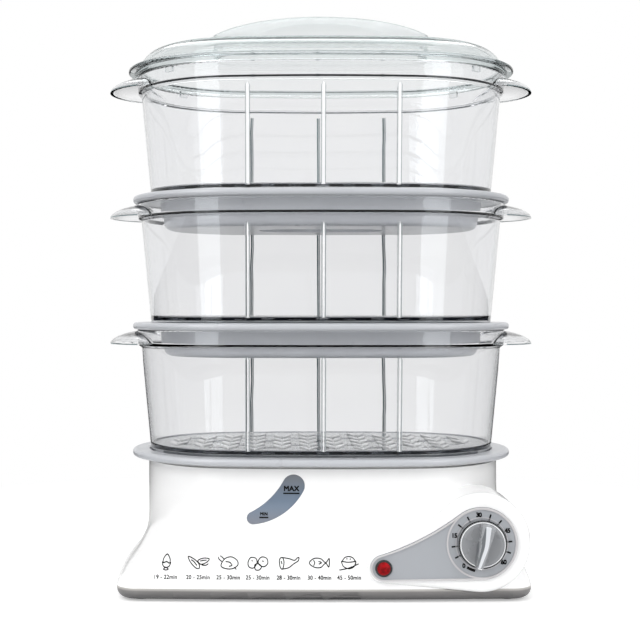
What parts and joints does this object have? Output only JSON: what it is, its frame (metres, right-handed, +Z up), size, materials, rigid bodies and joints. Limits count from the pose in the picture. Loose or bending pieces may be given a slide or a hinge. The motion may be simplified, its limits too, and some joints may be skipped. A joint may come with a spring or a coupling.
{
  "type": "electric food steamer",
  "caption": "Stacking electric food steamer: white base with timer dial, clear baskets on grey drip trays and a clear domed lid.",
  "frame": {"origin": "on the table under the middle of the stack of baskets, between the feet", "axes": "+X to the right seen from the front, +Y away from the front, +Z up"},
  "size_m": [0.3292, 0.2198, 0.4355],
  "materials": {
    "housing_white": "smooth glossy moulded ABS",
    "cover_grey": "silver grey, satin gloss",
    "foot_rubber": "matt rubber",
    "screw_steel": "zinc plated steel",
    "tank_white": "smooth moulded plastic",
    "window_blue": "tinted clear plastic, grey blue",
    "seal_rubber": "soft silicone rubber",
    "panel_grey": "grey satin plastic",
    "knob_grey": "grey satin plastic",
    "shaft_steel": "turned steel",
    "case_black": "black moulding",
    "bell_steel": "plated steel",
    "bezel_black": "black gloss",
    "lens_red": "clear red plastic",
    "holder_white": "white moulding",
    "plate_steel": "stainless steel",
    "clamp_steel": "zinc plated steel",
    "element_steel": "steel sheath, heat tinted",
    "fuse_white": "ceramic white sleeve",
    "ring_grey": "grey moulding",
    "block_white": "white moulding",
    "lead_brown": "brown insulation",
    "lead_blue": "blue insulation",
    "tray_grey": "light grey blue plastic, satin gloss",
    "basket_clear": "clear polycarbonate, faint green blue edges",
    "lid_clear": "clear polycarbonate, faint green blue edges"
  },
  "bodies": {
    "base": {"base_housing": "housing_white", "bottom_cover": "cover_grey", "feet": "foot_rubber", "housing_screws": "screw_steel", "water_tank": "tank_white", "level_window": "window_blue", "level_seal": "seal_rubber", "control_panel": "panel_grey", "timer_case": "case_black", "timer_bell": "bell_steel", "timer_screws": "screw_steel", "lamp_bezel": "bezel_black", "lamp_lens": "lens_red", "lamp_holder": "holder_white", "heater_plate": "plate_steel", "heater_seal": "seal_rubber", "heater_clamp": "clamp_steel", "clamp_screws": "screw_steel", "heater_element": "element_steel", "thermostat": "case_black", "thermal_fuse": "fuse_white", "steam_ring": "ring_grey", "terminal_block": "block_white", "lead_heater": "lead_brown", "lead_timer": "lead_blue", "lead_live": "lead_brown", "lead_lamp": "lead_blue", "cord_bush": "foot_rubber"},
    "knob": {"timer_knob": "knob_grey", "timer_shaft": "shaft_steel"},
    "tray_1": {"drip_tray_1": "tray_grey"},
    "steam_basket_1": {"basket_1": "basket_clear"},
    "tray_2": {"drip_tray_2": "tray_grey"},
    "steam_basket_2": {"basket_2": "basket_clear"},
    "tray_3": {"drip_tray_3": "tray_grey"},
    "steam_basket_3": {"basket_3": "basket_clear"},
    "cover_lid": {"lid": "lid_clear"}
  },
  "joints": [
    {"name": "timer_turn", "type": "hinge", "parent": "base", "child": "knob", "pos_m": [0.1101, -0.107, 0.0429], "axis": [0, 1, 0], "range_deg": [0, 285]},
    {"name": "tray_1_lift", "type": "slide", "parent": "base", "child": "tray_1", "axis": [0, 0, 1], "range_m": [0, 0.06]},
    {"name": "basket_1_lift", "type": "slide", "parent": "tray_1", "child": "steam_basket_1", "axis": [0, 0, 1], "range_m": [0, 0.04]},
    {"name": "tray_2_lift", "type": "slide", "parent": "steam_basket_1", "child": "tray_2", "axis": [0, 0, 1], "range_m": [0, 0.06]},
    {"name": "basket_2_lift", "type": "slide", "parent": "tray_2", "child": "steam_basket_2", "axis": [0, 0, 1], "range_m": [0, 0.04]},
    {"name": "tray_3_lift", "type": "slide", "parent": "steam_basket_2", "child": "tray_3", "axis": [0, 0, 1], "range_m": [0, 0.06]},
    {"name": "basket_3_lift", "type": "slide", "parent": "tray_3", "child": "steam_basket_3", "axis": [0, 0, 1], "range_m": [0, 0.04]},
    {"name": "lid_lift", "type": "slide", "parent": "steam_basket_3", "child": "cover_lid", "axis": [0, 0, 1], "range_m": [0, 0.08]}
  ]
}
